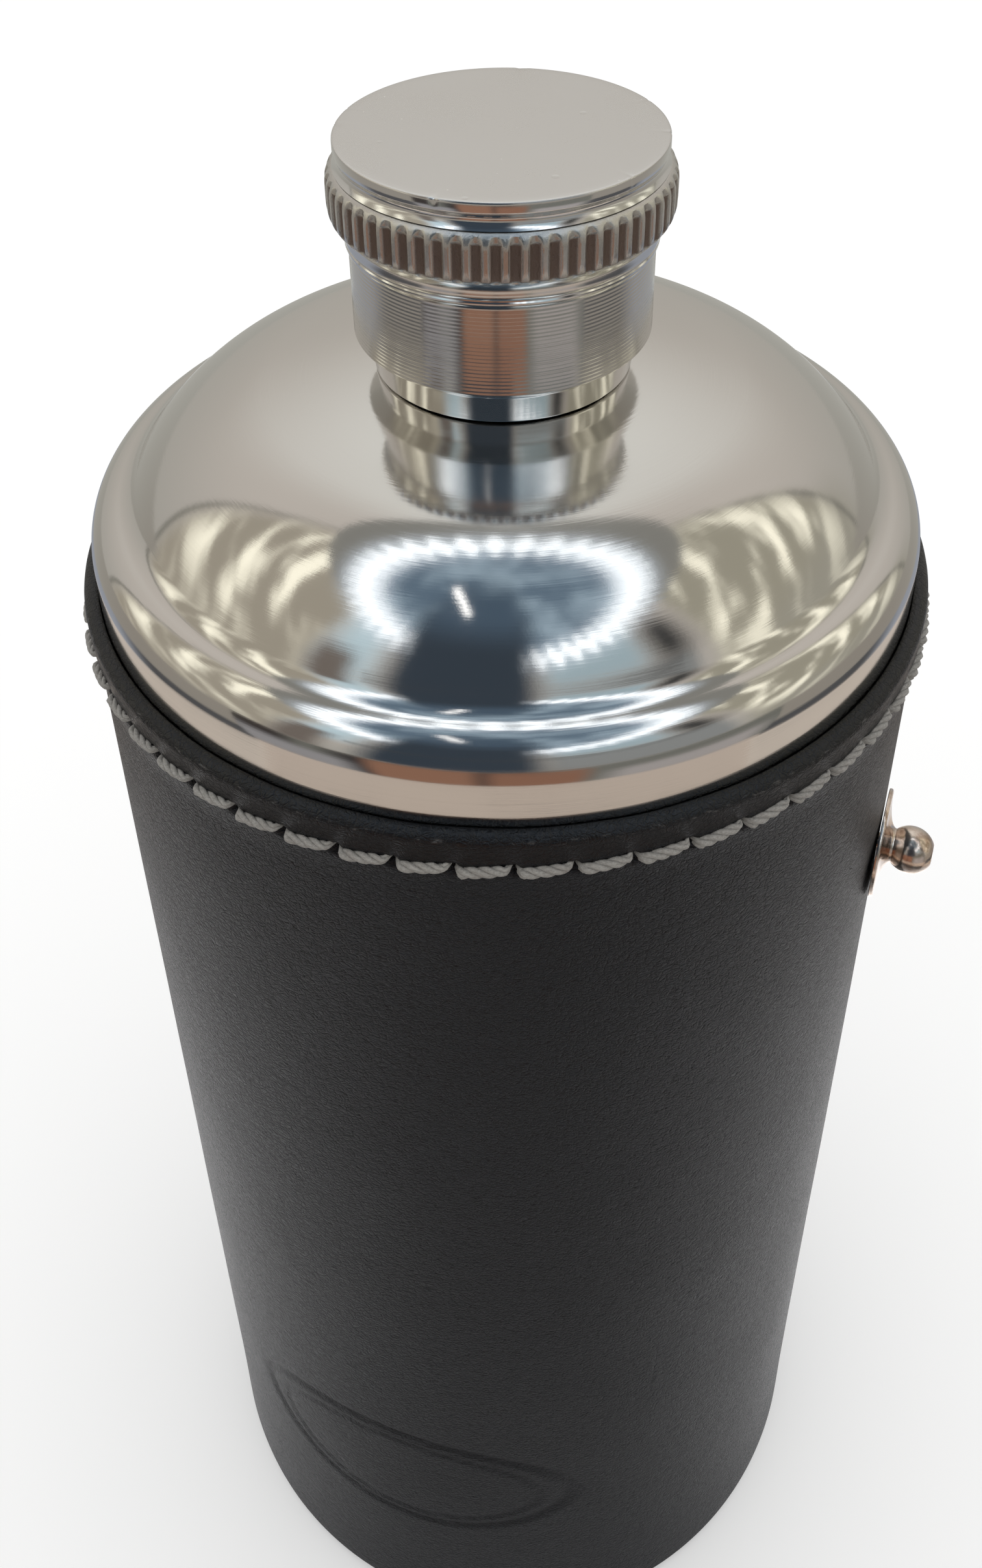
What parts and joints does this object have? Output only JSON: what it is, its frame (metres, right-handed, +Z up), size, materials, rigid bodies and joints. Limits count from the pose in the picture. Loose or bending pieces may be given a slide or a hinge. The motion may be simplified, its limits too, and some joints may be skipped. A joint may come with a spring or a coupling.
{
  "type": "round hunter flask",
  "caption": "Round steel flask with a domed shoulder, a knurled screw cap and a stitched black leather sleeve with strap studs.",
  "frame": {"origin": "centre of the base, on the surface that the flask stands on", "axes": "+Z up along the flask's axis; the two strap studs lie on the X axis; the sleeve's back seam is at +Y, the front at -Y"},
  "size_m": [0.0738, 0.0664, 0.1552],
  "materials": {
    "polished_steel": "mirror polished, with fine brush marks",
    "bottle_steel": "plain drawn steel",
    "neck_steel": "turned steel",
    "turned_steel": "bright, with fine turning rings on the skirt",
    "knurled_steel": "bright, fluted",
    "satin_steel": "satin",
    "insert_plastic": "moulded",
    "seal_rubber": "soft matte",
    "sleeve_leather": "fine-grained, semi-matte",
    "thread": "twisted waxed thread",
    "stud_nickel": "polished, worn warm"
  },
  "bodies": {
    "flask": {"shoulder_dome": "polished_steel", "body_tube": "bottle_steel", "base_pan": "bottle_steel", "neck_tube": "neck_steel", "leather_sleeve": "sleeve_leather", "base_pad": "sleeve_leather", "top_stitching": "thread", "seam_stitching": "thread", "stud_posts": "stud_nickel", "stud_screws": "bottle_steel"},
    "seal": {"cap_seal": "seal_rubber"},
    "cap": {"cap_shell": "turned_steel", "knurled_ring": "knurled_steel", "cap_disc": "satin_steel", "cap_insert": "insert_plastic"}
  },
  "joints": [
    {"name": "cap_lift", "type": "slide", "parent": "flask", "child": "seal", "axis": [0, 0, 1], "range_m": [0, 0.015]},
    {"name": "cap_turn", "type": "hinge", "parent": "seal", "child": "cap", "pos_m": [0, 0, 0.15], "axis": [0, 0, 1], "range_deg": [0, 1800]}
  ],
  "couplings": [
    {"joint": "cap_lift", "follows": "cap_turn", "m_per_rad": 0.00047746}
  ]
}
